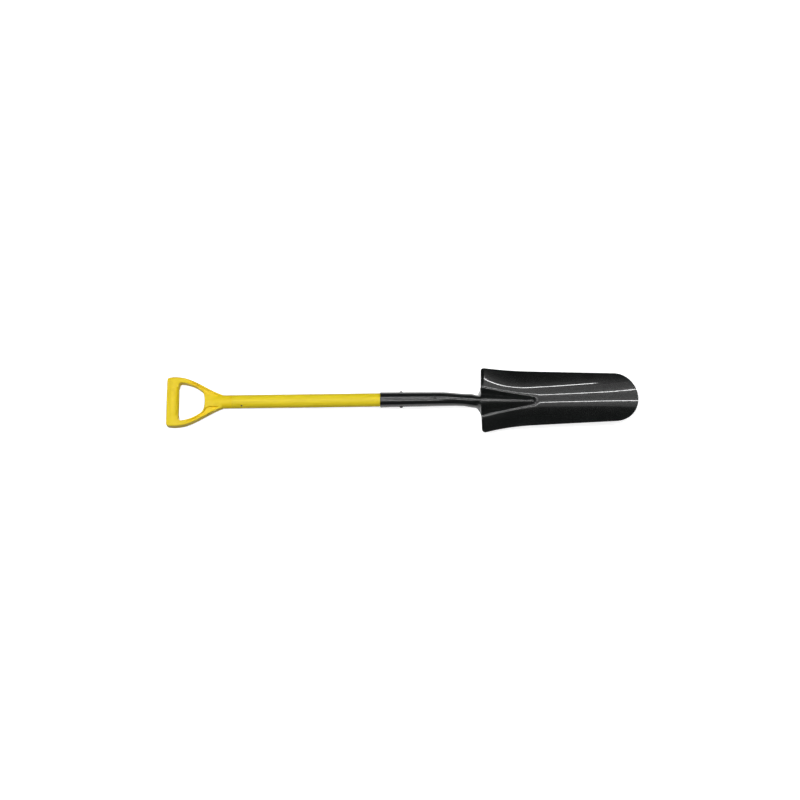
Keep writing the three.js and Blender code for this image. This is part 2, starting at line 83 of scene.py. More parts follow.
SHAFT_OD, SHAFT_WALL = 35, 3.6
SHAFT_PAST_BEND = 4
GRIP_WIDTH, GRIP_BAR_OD, GRIP_ARM_DEPTH, GRIP_ARM_WIDTH = 128, 31, 28, 14
GRIP_OPENING, GRIP_CORNER, GRIP_BULGE = 67, 12, 1.4
GRIP_WEB, GRIP_FLANGE, BAR_CROWN = 12, 4, 1.5
OPENING_CORNER, OPENING_TIGHTNESS, OPENING_OVERLAP = 12, 3, 1
GRIP_FORK, GRIP_CLOSING, GRIP_COLLAR = 14, 30, 27
SPIGOT_LENGTH = 62
PIN_OD, PIN_TURN, PIN_WALL, PIN_SLOT = 5, 52, 0.9, 16
PIN_CHAMFER, PIN_CHAMFER_LENGTH, PIN_HOLE_DISH = 0.35, 0.8, 0.4
RIVET_SHANK, RIVET_HEAD, RIVET_HEAD_HEIGHT, RIVET_EDGE = 6, 9, 2.6, 0.25
CROSS_RIVET_INSET, FACE_RIVET_FROM_BEND, GRIP_PIN_INSET = 54, 8, 25.5
PLATE_LAP, PLATE_SHEET, PLATE_START, PLATE_MARGIN = 8, 2, 6, 3
WELD_RADIUS, WELD_INSET, WELD_STANDS = 1.8, 2, 0.5
RIPPLE_LENGTH, WANDER_LENGTH = 2.6, 9
CUT_EDGE, PLATE_EDGE, TUBE_EDGE = 0.7, 0.5, 0.5

TIP_X = OVERALL
STEP_X = OVERALL - BLADE_LENGTH
BEND_X = STEP_X + STEP_REACH
MOUTH_X = STEP_X - SOCKET_LENGTH
NECK_X = STEP_X - NECK_FROM_STEP
STRAIGHT_END_X = STEP_X - SOCKET_BEND_FROM_STEP
NOSE_X = STEP_X + FROG_LENGTH
CROSS_RIVET_X = MOUTH_X + CROSS_RIVET_INSET
FACE_RIVET_X = STRAIGHT_END_X - FACE_RIVET_FROM_BEND
FORK_X = GRIP_BAR_OD + GRIP_OPENING
GRIP_NECK_X = FORK_X + GRIP_FORK
ARMS_END_X = GRIP_NECK_X + GRIP_CLOSING
GRIP_NECK_END = ARMS_END_X + GRIP_COLLAR
PIN_X = GRIP_NECK_END + GRIP_PIN_INSET
SHAFT_END_X = STRAIGHT_END_X + SHAFT_PAST_BEND
SOCKET_MOUTH_OD = SHAFT_OD + 2 * (SHEET + SOCKET_EASE)
SHAFT_BORE = SHAFT_OD - 2 * SHAFT_WALL
TIP_RADIUS = TIP_WIDTH / 2


def centre(node):
    """The middle of a CAD node's box."""
    low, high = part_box(node)
    return (Vector(low) + Vector(high)) / 2


# The shaft's axis runs through the middles of the grip's pin and of the cross rivet.
along = (centre("socket_cross_rivet") - centre("grip_pin")).normalized()
across = Vector((0, 1, 0))
out = along.cross(across)
start = centre("grip_pin") - along * PIN_X * MM
PLACE = Matrix((along, across, out)).transposed().to_4x4()
PLACE.translation = start


# ---- helpers ----
def mix(a, b, t):
    return a + (b - a) * t


def clamp01(t):
    return np.clip(t, 0, 1)


def smooth(t):
    return clamp01(t) ** 2 * (3 - 2 * clamp01(t))


def softplus(h, k):
    """Zero well below nought and h well above it, with a rounded bend of size k between."""
    return k * np.logaddexp(0, h / k)


def smooth_min(a, b, k):
    """The smaller of two distances, with a fillet of size k where they meet."""
    h = clamp01(0.5 + 0.5 * (b - a) / k)
    return mix(b, a, h) - k * h * (1 - h)


def smooth_max(a, b, k):
    return -smooth_min(-a, -b, k)


def placed(name, points, faces):
    """An object whose mesh is given in millimetres along the shaft and placed in the frame."""
    mesh = bpy.data.meshes.new(name)
    mesh.from_pydata((np.asarray(points) * MM).tolist(), [], [tuple(map(int, f)) for f in faces])
    mesh.validate()
    mesh.transform(PLACE)
    item = bpy.data.objects.new(name, mesh)
    scene.collection.objects.link(item)
    return item


def add_piece(name, points, faces, material, node=None, smooth_faces=True):
    """A visible piece that rides on the tool's one body."""
    piece = placed(name, points, faces)
    piece.data.polygons.foreach_set("use_smooth", [smooth_faces] * len(piece.data.polygons))
    piece.data.materials.append(material)
    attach(piece, "root")
    if node:
        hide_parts(node)
    return piece


# ---- the pressing: socket, neck, frog and blade as one sheet ----
def socket_od(x):
    straight = SOCKET_MOUTH_OD - SOCKET_TAPER * clamp01((x - MOUTH_X) / (STRAIGHT_END_X - MOUTH_X))
    to_neck = smooth((x - STRAIGHT_END_X) / (NECK_X - STRAIGHT_END_X))
    return mix(straight, NECK_OD, to_neck)


def blade_bottom(x):
    return -BLADE_DROP + BLADE_LIFT * (x - STEP_X) / BLADE_LENGTH


def front_line(x):
    """Height of the front line of the socket, neck and frog, going on falling beyond the nose."""
    top = (socket_od(min(x, STRAIGHT_END_X)) - SHEET) / 2
    if x <= STRAIGHT_END_X:
        return top
    low = -FROG_UNDER_AXIS
    slope = (blade_bottom(NOSE_X) - low) / FROG_LENGTH
    if x >= STEP_X:
        return low + slope * (x - STEP_X)
    span = STEP_X - STRAIGHT_END_X
    u = (x - STRAIGHT_END_X) / span
    curve = (2 * u ** 3 - 3 * u ** 2 + 1) * top + (3 * u ** 2 - 2 * u ** 3) * low
    return curve + (u ** 3 - u ** 2) * span * slope


def half_width(x):
    down = x - STEP_X
    straight = mix(WAIST_WIDTH, TIP_WIDTH, down / (BLADE_LENGTH - TIP_RADIUS)) / 2
    return straight + (SHOULDER_WIDTH - WAIST_WIDTH) / 2 * clamp01(1 - down / FLARE_LENGTH) ** 2


def dish_curve(x):
    """How fast the blade's section turns up from its middle: its height is this times y squared."""
    down = x - STEP_X
    flattening = SHOULDER_FLATTENING * clamp01(1 - down / FLARE_LENGTH) ** 2
    depth = mix(DISH_AT_STEP, DISH_AT_TIP, down / BLADE_LENGTH) - flattening
    return depth / half_width(min(x, TIP_X - TIP_RADIUS)) ** 2


def dish(x, y):
    return blade_bottom(x) + dish_curve(x) * y ** 2


def crease_width(x):
    """Half width between the creases, down the blade's length."""
    if x >= NOSE_X:
        return mix(FROG_NOSE, TIP_RADIUS / 4, smooth((x - NOSE_X) / (TIP_X - NOSE_X)))
    if x >= STEP_X:
        return mix(FROG_HALF_WIDTH, FROG_NOSE, ((x - STEP_X) / FROG_LENGTH) ** FROG_BOW)
    back = min(NECK_FILLET, STEP_X - x)
    return FROG_HALF_WIDTH - math.sqrt(NECK_FILLET ** 2 - (NECK_FILLET - back) ** 2)


def crown_width(x):
    reach = 2 * NECK_FILLET
    if x > STEP_X + reach:
        return crease_width(x)
    narrow = FROG_HALF_WIDTH - NECK_FILLET
    return mix(narrow, crease_width(STEP_X + reach), smooth((x - STEP_X + reach) / (2 * reach)))


def frog_rise(x, y):
    """How far the frog stands above the dish, with a soft crease all round it and its blunt nose."""
    nose_centre = NOSE_X - FROG_NOSE
    width = crease_width(min(x, nose_centre))
    from_middle = math.hypot(max(0, x - nose_centre), y)
    height = front_line(x) - blade_bottom(x) + NOSE_RISE * clamp01((x - STEP_X) / FROG_LENGTH)
    bell = mix(1, BELL_AT_STEP, smooth(1 - (x - STEP_X) / BELL_REACH))
    if x < STEP_X:
        bell = mix(BELL_AT_NECK, BELL_AT_STEP, smooth(1 - (STEP_X - x) / (2 * NECK_FILLET)))
    share = from_middle / width
    if share < 1:
        return softplus(height * math.cos(share * math.pi / 2) ** bell, CREASE_SOFTNESS)
    return softplus(width - from_middle, CREASE_SOFTNESS)


def blade_point(x, y):
    return (x, y, dish(x, y) + frog_rise(x, y))


def strip_point(x, v):
    """A point of the middle surface between the sheet's two long edges, v from -1 to 1 across it."""
    even = smooth((x - NECK_X) / (NECK_FROM_STEP + NECK_FILLET))
    spread = mix(math.sin(v * math.pi / 2), v, even)
    y = spread * crown_width(x) + (crease_width(x) - crown_width(x)) * v * abs(v) ** 3
    arch = (y, dish(max(x, STEP_X), y) + frog_rise(x, y))
    opened = smooth((x - STEP_X + NECK_OPENS) / NECK_OPENS)
    radius = (socket_od(x) - SHEET) / 2 + NECK_SWELL * smooth((x - NECK_X) / NECK_FROM_STEP)
    turn = v * (math.pi - SEAM / 2 / radius)
    tube = (radius * math.sin(turn), front_line(x) - radius + radius * math.cos(turn))
    return (x, mix(tube[0], arch[0], opened), mix(tube[1], arch[1], opened))


# The pressing's grid: its columns across the strip and the wings, and its rows down the tool.
STRIP_HALF, WING_CELLS = 48, 44
COLUMNS = range(-WING_CELLS - STRIP_HALF, WING_CELLS + STRIP_HALF + 1)
SOCKET_ROWS, NECK_ROWS, FILLET_ROWS, STEP_ROWS = 24, 44, 18, 10
FROG_ROWS, BLADE_ROWS, TIP_ROWS = 110, 60, 40
FROG_ROWS_PAST_NOSE = 12
TIP_ROWS_TO_ANGLE = 48
CREASE_SHARE = 0.4


def socket_row(x):
    return [strip_point(x, i / STRIP_HALF) if abs(i) <= STRIP_HALF else None for i in COLUMNS]


def blade_row(x, edge_y, bulge):
    """A line across the blade, bowed towards the tip by a bulge."""
    crease = min(crease_width(x), edge_y * CREASE_SHARE)
    bow_radius = (edge_y ** 2 + bulge ** 2) / (2 * bulge) if bulge > 0 else 0
    line = []
    for i in COLUMNS:
        wing = (abs(i) - STRIP_HALF) / WING_CELLS
        y = math.copysign(mix(crease, edge_y, wing), i) if wing > 0 else crease * i / STRIP_HALF
        bow = bulge - (bow_radius - math.sqrt(bow_radius ** 2 - y ** 2)) if bulge > 0 else 0
        if wing <= 0 and x + bow < STEP_X + 2 * NECK_FILLET:
            line.append(strip_point(x, i / STRIP_HALF))
        else:
            line.append(blade_point(x + bow, y))
    return line


def step_row(x):
    """A line of the foot step, curled out of the blade's face and fading out beside the frog."""
    share = (BEND_X - x) / STEP_REACH
    corner = STEP_CORNER * (1 - math.sqrt(max(0, 1 - share ** 2)))
    line = blade_row(x, half_width(BEND_X) - corner, 0)
    curl = math.radians(STEP_ANGLE) * share
    for index, i in enumerate(COLUMNS):
        if abs(i) <= STRIP_HALF:
            continue
        y = line[index][1]
        fade = smooth((abs(y) - crease_width(x)) / STEP_FADE)
        lift = fade * STEP_BEND * (1 - math.cos(curl))
        lean = math.atan(2 * dish_curve(BEND_X) * abs(y))
        height = mix(dish(x, y), dish(BEND_X, y), fade) + frog_rise(x, y) + lift * math.cos(lean)
        back = BEND_X - mix(STEP_REACH * share, STEP_BEND * math.sin(curl), fade)
        line[index] = (back, y - math.copysign(lift * math.sin(lean), y), height)
    return line


def tip_row(share):
    """A line near the tip: its ends go round the tip's arc while its middle moves on to the tip."""
    angle = math.radians(mix(90, TIP_ROWS_TO_ANGLE, share))
    edge_x = TIP_X - TIP_RADIUS + TIP_RADIUS * math.cos(angle)
    bulge = mix(TIP_X - TIP_RADIUS, TIP_X, share) - edge_x
    return blade_row(edge_x, TIP_RADIUS * math.sin(angle), bulge)


def pressing_rows():
    def spread(first, last, count):
        return np.linspace(first, last, count, endpoint=False)

    frog_end = NOSE_X + FROG_ROWS_PAST_NOSE
    swing = spread(0, math.pi / 2, FILLET_ROWS)
    rows = [socket_row(x) for x in spread(MOUTH_X, STRAIGHT_END_X, SOCKET_ROWS)]
    rows += [socket_row(x) for x in spread(STRAIGHT_END_X, STEP_X - NECK_FILLET, NECK_ROWS)]
    rows += [socket_row(STEP_X - NECK_FILLET * (1 - math.sin(a))) for a in swing]
    rows += [step_row(x) for x in spread(STEP_X, BEND_X, STEP_ROWS)]
    rows += [blade_row(x, half_width(x), 0) for x in spread(BEND_X, frog_end, FROG_ROWS)]
    rows += [blade_row(x, half_width(x), 0) for x in spread(frog_end, TIP_X - TIP_RADIUS, BLADE_ROWS)]
    return rows + [tip_row(share) for share in np.linspace(0, 1, TIP_ROWS)]


def sheet_faces(rows):
    """Numbers the points of a grid that has gaps, and lists its four-sided faces."""
    numbers, points, faces = {}, [], []
    for j, row in enumerate(rows):
        for i, point in enumerate(row):
            if point is not None:
                numbers[j, i] = len(points)
                points.append(point)
    for j, i in numbers:
        ring = [(j, i), (j, i + 1), (j + 1, i + 1), (j + 1, i)]
        if all(corner in numbers for corner in ring):
            faces.append([numbers[corner] for corner in ring])
    return points, faces


BEVEL_STEPS, BEVEL_FROM_ANGLE = 3, 50


def thicken(piece, thickness, edge):
    """Gives a sheet its thickness about its middle surface, and rounds its cut edges."""
    solid = piece.modifiers.new("thickness", "SOLIDIFY")
    solid.thickness = thickness * MM
    solid.offset = 0
    solid.use_even_offset = False
    bevel = piece.modifiers.new("cut_edges", "BEVEL")
    bevel.width = edge * MM
    bevel.segments = BEVEL_STEPS
    bevel.limit_method = "ANGLE"
    bevel.angle_limit = math.radians(BEVEL_FROM_ANGLE)
    normals = piece.modifiers.new("normals", "WEIGHTED_NORMAL")
    normals.keep_sharp = False


def make_pressing(material):
    points, faces = sheet_faces(pressing_rows())
    piece = add_piece("blade_pressing", points, faces, material, "blade")
    thicken(piece, SHEET, CUT_EDGE)


# ---- plate welded over the hollow behind the frog ----
PLATE_UNDER = SHEET / 2 + GAP + PLATE_SHEET / 2
PLATE_ROWS, PLATE_COLUMNS = 60, 49
WELD_SIDES, WELD_POINTS, WELD_CROWDING = 12, 260, 1.8
WELD_LEAST, WELD_END, RIPPLE_SHARE, RIPPLE_POWER = 0.82, 0.4, 0.13, 0.6
WANDER_SHARE, WANDER_SEED = 0.075, 4


def plate_half(x):
    end = clamp01((x - NOSE_X + PLATE_LAP) / (2 * PLATE_LAP + PLATE_MARGIN))
    return (crease_width(min(x, NOSE_X)) + PLATE_LAP) * math.sqrt(1 - end ** 2)


def make_plate(material):
    rows = []
    first, last = BEND_X + PLATE_START, NOSE_X + PLATE_LAP
    columns = np.linspace(-1, 1, PLATE_COLUMNS)
    for share in np.linspace(0, 1, PLATE_ROWS):
        x = mix(first, last, math.sin(share * math.pi / 2))
        rows.append([(x, y, dish(x, y) - PLATE_UNDER) for y in columns * plate_half(x)])
    points, faces = sheet_faces(rows)
    piece = add_piece("frog_plate", points, faces, material, "back_plate")
    thicken(piece, PLATE_SHEET, PLATE_EDGE)


def swept(path, radii, sides):
    """A solid round bead along a path of points, with a radius at each and flat ends."""
    path = np.asarray(path, float)
    ahead = np.gradient(path, axis=0)
    ahead /= np.linalg.norm(ahead, axis=1)[:, None]
    side = np.cross(ahead, (0, 0, 1))
    side /= np.linalg.norm(side, axis=1)[:, None]
    up = np.cross(side, ahead)
    angles = np.linspace(0, 2 * math.pi, sides, endpoint=False)
    ring = side[:, None] * np.cos(angles)[:, None] + up[:, None] * np.sin(angles)[:, None]
    points = (path[:, None] + ring * np.asarray(radii)[:, None, None]).reshape(-1, 3)
    faces = []
    for k in range(len(path) - 1):
        for i in range(sides):
            j = (i + 1) % sides
            faces.append((k * sides + i, (k + 1) * sides + i, (k + 1) * sides + j, k * sides + j))
    faces.append(tuple(range(sides)))
    faces.append(tuple(range((len(path) - 1) * sides, len(path) * sides))[::-1])
    return points, faces


def make_weld(material):
    """The bead round the plate's edge, its ripples laid one after another."""
    first, last = BEND_X + PLATE_START + WELD_INSET, NOSE_X + PLATE_LAP
    crowded = np.linspace(0, 1, WELD_POINTS) ** WELD_CROWDING
    side = [(x, plate_half(x)) for x in last - (last - first) * crowded]
    plan = [(x, -y) for x, y in side[::-1]] + side[1:]
    path = [(x, y, dish(x, y) - PLATE_UNDER + WELD_STANDS) for x, y in plan]
    run = np.r_[0, np.cumsum(np.linalg.norm(np.diff(path, axis=0), axis=1))]
    ripples = np.abs(np.sin(run * math.pi / RIPPLE_LENGTH)) ** RIPPLE_POWER
    stops = np.arange(0, run[-1] + WANDER_LENGTH, WANDER_LENGTH)
    rng = np.random.default_rng(WANDER_SEED)
    wander = np.interp(run, stops, rng.uniform(-WANDER_SHARE, WANDER_SHARE, len(stops)))
    radii = WELD_RADIUS * (WELD_LEAST + RIPPLE_SHARE * ripples + wander)
    radii[[0, -1]] *= WELD_END
    points, faces = swept(path, radii, WELD_SIDES)
    add_piece("plate_weld", points, faces, material)


# ---- turned pieces ----
AXIS_ACROSS, AXIS_OUT = [1, 0, 2], [2, 1, 0]
TUBE_SIDES, TUBE_RINGS, TUBE_END_RINGS, TUBE_EDGE_RINGS = 128, 120, 12, 5
RINGS_FROM_GRIP, RINGS_TO_MOUTH = 5, 2
RIVET_SIDES, DOME_RINGS, DOME_START, DOME_POWER = 48, 12, 0.06, 0.8
DRILL_SIDES, PIN_SIDES = 40, 40


def turned(profile, sides):
    """A body of revolution about the shaft's direction from (distance, radius) points, ends on the axis."""
    points, faces = [(profile[0][0], 0, 0)], []
    rings = profile[1:-1]
    angles = np.linspace(0, 2 * math.pi, sides, endpoint=False)
    for x, radius in rings:
        points += [(x, radius * math.cos(a), radius * math.sin(a)) for a in angles]
    points.append((profile[-1][0], 0, 0))
    end = len(points) - 1
    last = 1 + (len(rings) - 1) * sides
    for i in range(sides):
        j = (i + 1) % sides
        faces.append((0, 1 + j, 1 + i))
        faces.append((end, last + i, last + j))
        for k in range(len(rings) - 1):
            a, b = 1 + k * sides, 1 + (k + 1) * sides
            faces.append((a + i, a + j, b + j, b + i))
    return points, faces


def pointed(points, axes):
    """A turned body's points with its axis moved away from the shaft's direction."""
    return np.array(points)[:, axes] * (-1, 1, 1)


def arc(middle, radius, first, last, count):
    """Points of an arc in (distance, radius) terms, angles in degrees from the shaft's direction."""
    angles = np.radians(np.linspace(first, last, count))
    return [(middle[0] + radius * math.cos(a), middle[1] + radius * math.sin(a)) for a in angles]


def drill_for_pin(tube):
    """Cuts the pin's hole through the tube, a little dished where the drill went in and out."""
    radius, out_to = PIN_OD / 2 + GAP, SHAFT_OD / 2
    profile = [(-SHAFT_OD, 0), (-SHAFT_OD, 3 * radius), (-out_to + PIN_HOLE_DISH, radius),
               (out_to - PIN_HOLE_DISH, radius), (SHAFT_OD, 3 * radius), (SHAFT_OD, 0)]
    points, faces = turned(profile, DRILL_SIDES)
    drill = placed("drill", pin_turned(pointed(points, AXIS_OUT)), faces)
    cut = tube.modifiers.new("pin_hole", "BOOLEAN")
    cut.operation = "DIFFERENCE"
    cut.object = drill
    bpy.context.view_layer.update()
    drilled = bpy.data.meshes.new_from_object(tube.evaluated_get(bpy.context.evaluated_depsgraph_get()))
    tube.modifiers.clear()
    tube.data = drilled
    bpy.data.objects.remove(drill)


def make_shaft(material):
    radius, bore = SHAFT_OD / 2, SHAFT_BORE / 2
    first = GRIP_NECK_END + GAP / 3
    outer = arc((first + TUBE_EDGE, radius - TUBE_EDGE), TUBE_EDGE, 180, 90, TUBE_EDGE_RINGS)
    outer += [(x, radius) for x in np.linspace(first + RINGS_FROM_GRIP, MOUTH_X - RINGS_TO_MOUTH, TUBE_RINGS)]
    outer += [(x, min(radius, (socket_od(x) - 2 * SHEET) / 2 - 2 * GAP))
              for x in np.linspace(MOUTH_X, SHAFT_END_X, TUBE_END_RINGS)]
    rings = [(first, bore)] + outer + [(SHAFT_END_X, bore)]
    angles = np.linspace(0, 2 * math.pi, TUBE_SIDES, endpoint=False)
    points, faces = [], []
    for x, r in rings:
        points += [(x, r * math.cos(a), r * math.sin(a)) for a in angles]
    for k in range(len(rings)):
        a, b = k * TUBE_SIDES, (k + 1) % len(rings) * TUBE_SIDES
        for i in range(TUBE_SIDES):
            j = (i + 1) % TUBE_SIDES
            faces.append((a + i, a + j, b + j, b + i))
    tube = add_piece("fibreglass_tube", points, faces, material, "shaft")
    drill_for_pin(tube)


def rivet_profile(seat):
    """Half a riveted shank: a flat-sided head with a domed, lightly set top."""
    head, high = RIVET_HEAD / 2, RIVET_HEAD_HEIGHT
    dome = [(seat + high * math.sin(a), head * math.cos(a) ** DOME_POWER)
            for a in np.linspace(DOME_START, math.pi / 2, DOME_RINGS)[:-1]]
    shank = [(0, RIVET_SHANK / 2), (seat, RIVET_SHANK / 2), (seat, head - RIVET_EDGE)]
    return shank + dome + [(seat + high, 0)]


def make_rivet(name, node, at, axes, material):
    """A rivet with a head at both ends, at a distance along the shaft and pointed across it or out."""
    half = rivet_profile(socket_od(at) / 2 + GAP)
    profile = [(-d, r) for d, r in half[:0:-1]] + half
    points, faces = turned(profile, RIVET_SIDES)
    add_piece(name, pointed(points, axes) + (at, 0, 0), faces, material, node)


def pin_turned(points):
    """Points given round the Z axis, turned about the shaft to where the pin runs."""
    x, y, z = points.T
    turn = math.radians(PIN_TURN)
    return np.stack([x + PIN_X, y * math.cos(turn) - z * math.sin(turn),
                     y * math.sin(turn) + z * math.cos(turn)], axis=1)


def make_grip_pin(material):
    """A rolled spring pin: a sheet curled into a tube with a slot along it and chamfered ends."""
    radius, bore = PIN_OD / 2, PIN_OD / 2 - PIN_WALL
    reach = SHAFT_OD / 2 - GAP
    slot = math.radians(PIN_SLOT)
    turns = np.linspace(slot, 2 * math.pi - slot, PIN_SIDES)
    full = reach - PIN_CHAMFER_LENGTH
    rings = [(-reach, PIN_CHAMFER), (-full, 0), (full, 0), (reach, PIN_CHAMFER)]
    rows = []
    for z, inset in rings:
        outer = [(math.cos(a) * (radius - inset), math.sin(a) * (radius - inset), z) for a in turns]
        inner = [(math.cos(a) * bore, math.sin(a) * bore, z) for a in turns[::-1]]
        rows.append(outer + inner)
    count = len(rows[0])
    points = pin_turned(np.array([p for row in rows for p in row]))
    faces = [(k * count + i, k * count + (i + 1) % count, (k + 1) * count + (i + 1) % count,
              (k + 1) * count + i) for k in range(len(rows) - 1) for i in range(count)]
    arcs = len(turns)
    for k, flip in ((0, -1), (len(rows) - 1, 1)):
        for i in range(arcs - 1):
            ring = (k * count + i, k * count + i + 1, k * count + count - 2 - i, k * count + count - 1 - i)
            faces.append(ring[::flip])
    add_piece("grip_spring_pin", points, faces, material, "grip_pin", False)


# ---- grip: a smooth blend of solids, turned into a mesh ----
# How round each meeting of the grip's solids is.
ARM_EDGE, BAND_BLEND, BODY_BLEND = 2.6, 2, 2
POCKET_CORNER, POCKET_FOOT, POCKET_RIM = 3, 1.5, 1.2
BAR_BLEND, BAR_END_BLEND, NECK_BLEND, COLLAR_EDGE = 6, 6, 5, 0.5
# Where the arms get thinner, where the pockets get deeper, and the body left whole between them.
ARMS_THIN_BY, ARMS_THIN_FROM, ARMS_THIN_OVER = 2, 40, 50
POCKET_RAMP_FROM, POCKET_RAMP = GRIP_BAR_OD + 16, 26
BODY_AT_FORK, BODY_AT_NECK, BODY_TAPER = 18, 14, 2
BAR_END_INSET, NECK_OVERLAP, SPIGOT_OVERLAP = 2, 10, 6
GRIP_CELL, GRIP_MARGIN, GRIP_REACH_Y, GRIP_REACH_Z = 0.9, 3, 70, 20
CURVE_POINTS = 14


def bezier(points):
    a, b, c, d = (np.array(p, float) for p in points)
    t = np.linspace(0, 1, CURVE_POINTS, endpoint=False)[:, None]
    return (1 - t) ** 3 * a + 3 * (1 - t) ** 2 * t * b + 3 * (1 - t) * t ** 2 * c + t ** 3 * d


def mirrored(side):
    """A closed outline from its upper half."""
    side = np.array(side)
    return np.vstack([side, side[::-1] * (1, -1)])


def grip_outline():
    half, neck = GRIP_WIDTH / 2, SHAFT_OD / 2

    def at(share, inward):
        return mix(GRIP_BAR_OD, FORK_X, share), mix(half, neck, inward)

    runs = [
        ((0, half - GRIP_CORNER), (0, half - GRIP_CORNER / 3), (0, half), (GRIP_CORNER * 3 / 4, half)),
        ((GRIP_CORNER * 3 / 4, half), (GRIP_BAR_OD / 2, half + GRIP_BULGE), (GRIP_BAR_OD, half + GRIP_BULGE),
         at(0.1, 0)),
        (at(0.1, 0), at(0.34, 0.06), at(0.49, 0.16), at(0.7, 0.3)),
        (at(0.7, 0.3), at(1, 0.52), (mix(FORK_X, ARMS_END_X, 0.5), mix(half, neck, 0.83)),
         (ARMS_END_X, neck)),
    ]
    return mirrored(np.vstack([bezier(run) for run in runs] + [[(ARMS_END_X, neck)]]))


def opening_outline():
    half = GRIP_WIDTH / 2 - GRIP_ARM_WIDTH
    back = GRIP_BAR_OD - OPENING_OVERLAP
    tight = OPENING_TIGHTNESS
    corner = ((back, half - OPENING_CORNER), (back, half - tight), (back + tight, half))

    def at(share, outward):
        return mix(GRIP_BAR_OD, FORK_X, share), half * outward

    runs = [
        (*corner, at(0.1, 1)),
        (at(0.1, 1), at(0.36, 0.98), at(0.67, 0.8), at(0.9, 0.54)),
        (at(0.9, 0.54), at(0.98, 0.4), at(1, 0.18), at(1, 0)),
    ]
    return mirrored(np.vstack([bezier(run) for run in runs] + [[at(1, 0)]]))


def plan_distance(outline, x, y):
    """Distance to a closed outline for a grid of places, less than nought inside it."""
    best = np.full(x.shape, np.inf)
    inside = np.zeros(x.shape, bool)
    for (ax, ay), (bx, by) in zip(outline, np.roll(outline, -1, axis=0)):
        ex, ey = bx - ax, by - ay
        if ex == ey == 0:
            continue
        t = clamp01(((x - ax) * ex + (y - ay) * ey) / (ex ** 2 + ey ** 2))
        best = np.minimum(best, np.hypot(x - ax - t * ex, y - ay - t * ey))
        if ay != by:
            inside ^= ((ay > y) != (by > y)) & (x < ax + (y - ay) / (by - ay) * ex)
    return np.where(inside, -best, best)


def rounded_slab(plan, z, half_depth, edge):
    """An extrusion of a plan distance to both sides of the middle plane, its edges rounded."""
    wall, cap = plan + edge, np.abs(z) - half_depth + edge
    return np.hypot(np.maximum(wall, 0), np.maximum(cap, 0)) + np.minimum(np.maximum(wall, cap), 0) - edge


def grip_arms(x, y, z):
    """The arms and the body where they join, with the pockets that lighten both faces."""
    outer = plan_distance(grip_outline(), x[:, :, 0], y[:, :, 0])[:, :, None]
    hole = plan_distance(opening_outline(), x[:, :, 0], y[:, :, 0])[:, :, None]
    bare_bar = np.abs(y) - GRIP_WIDTH / 2 + GRIP_ARM_WIDTH + OPENING_CORNER
    beside_bar = np.maximum(GRIP_BAR_OD / 2 - x, x - GRIP_BAR_OD - OPENING_CORNER / 2)
    hole = np.minimum(hole, np.maximum(bare_bar, beside_bar))
    band = smooth_max(outer, -hole, BAND_BLEND)
    depth = GRIP_ARM_DEPTH / 2 - ARMS_THIN_BY * smooth((x - ARMS_THIN_FROM) / ARMS_THIN_OVER)
    pocket_plan = smooth_max(band + GRIP_FLANGE, GRIP_BAR_OD + GRIP_FLANGE - x, POCKET_CORNER)
    body = mix(BODY_AT_FORK, BODY_AT_NECK, smooth((x - FORK_X) / GRIP_FORK))
    beside_body = (body - np.abs(y)) - BODY_TAPER * np.maximum(FORK_X - GRIP_FLANGE - x, 0)
    pocket_plan = smooth_max(pocket_plan, beside_body, BODY_BLEND)
    pocket_floor = mix(depth, GRIP_WEB / 2, smooth((x - POCKET_RAMP_FROM) / POCKET_RAMP))
    pocket = smooth_max(pocket_plan, pocket_floor - np.abs(z), POCKET_FOOT)
    return smooth_max(rounded_slab(band, z, depth, ARM_EDGE), -pocket, POCKET_RIM)


def grip_bar(x, y, z):
    radius = GRIP_BAR_OD / 2 - BAR_CROWN * (2 * y / GRIP_WIDTH) ** 2
    bar = np.hypot(x - GRIP_BAR_OD / 2, z) - radius
    return smooth_max(bar, np.abs(y) - GRIP_WIDTH / 2 + BAR_END_INSET, BAR_END_BLEND)


def grip_field(x, y, z):
    """How far each place is from the grip's surface, less than nought inside it."""
    closing = smooth((x - GRIP_NECK_X) / GRIP_CLOSING)
    neck_radius = mix(GRIP_ARM_DEPTH / 2 - ARMS_THIN_BY, SHAFT_OD / 2, closing)
    neck = np.maximum(np.hypot(y, z) - neck_radius, GRIP_NECK_X - NECK_OVERLAP - x)
    solid = smooth_min(smooth_min(grip_arms(x, y, z), grip_bar(x, y, z), BAR_BLEND), neck, NECK_BLEND)
    solid = smooth_max(solid, x - GRIP_NECK_END, COLLAR_EDGE)
    spigot = np.maximum(np.hypot(y, z) - SHAFT_BORE / 2 + GAP, x - GRIP_NECK_END - SPIGOT_LENGTH)
    return np.minimum(solid, np.maximum(spigot, GRIP_NECK_END - SPIGOT_OVERLAP - x))


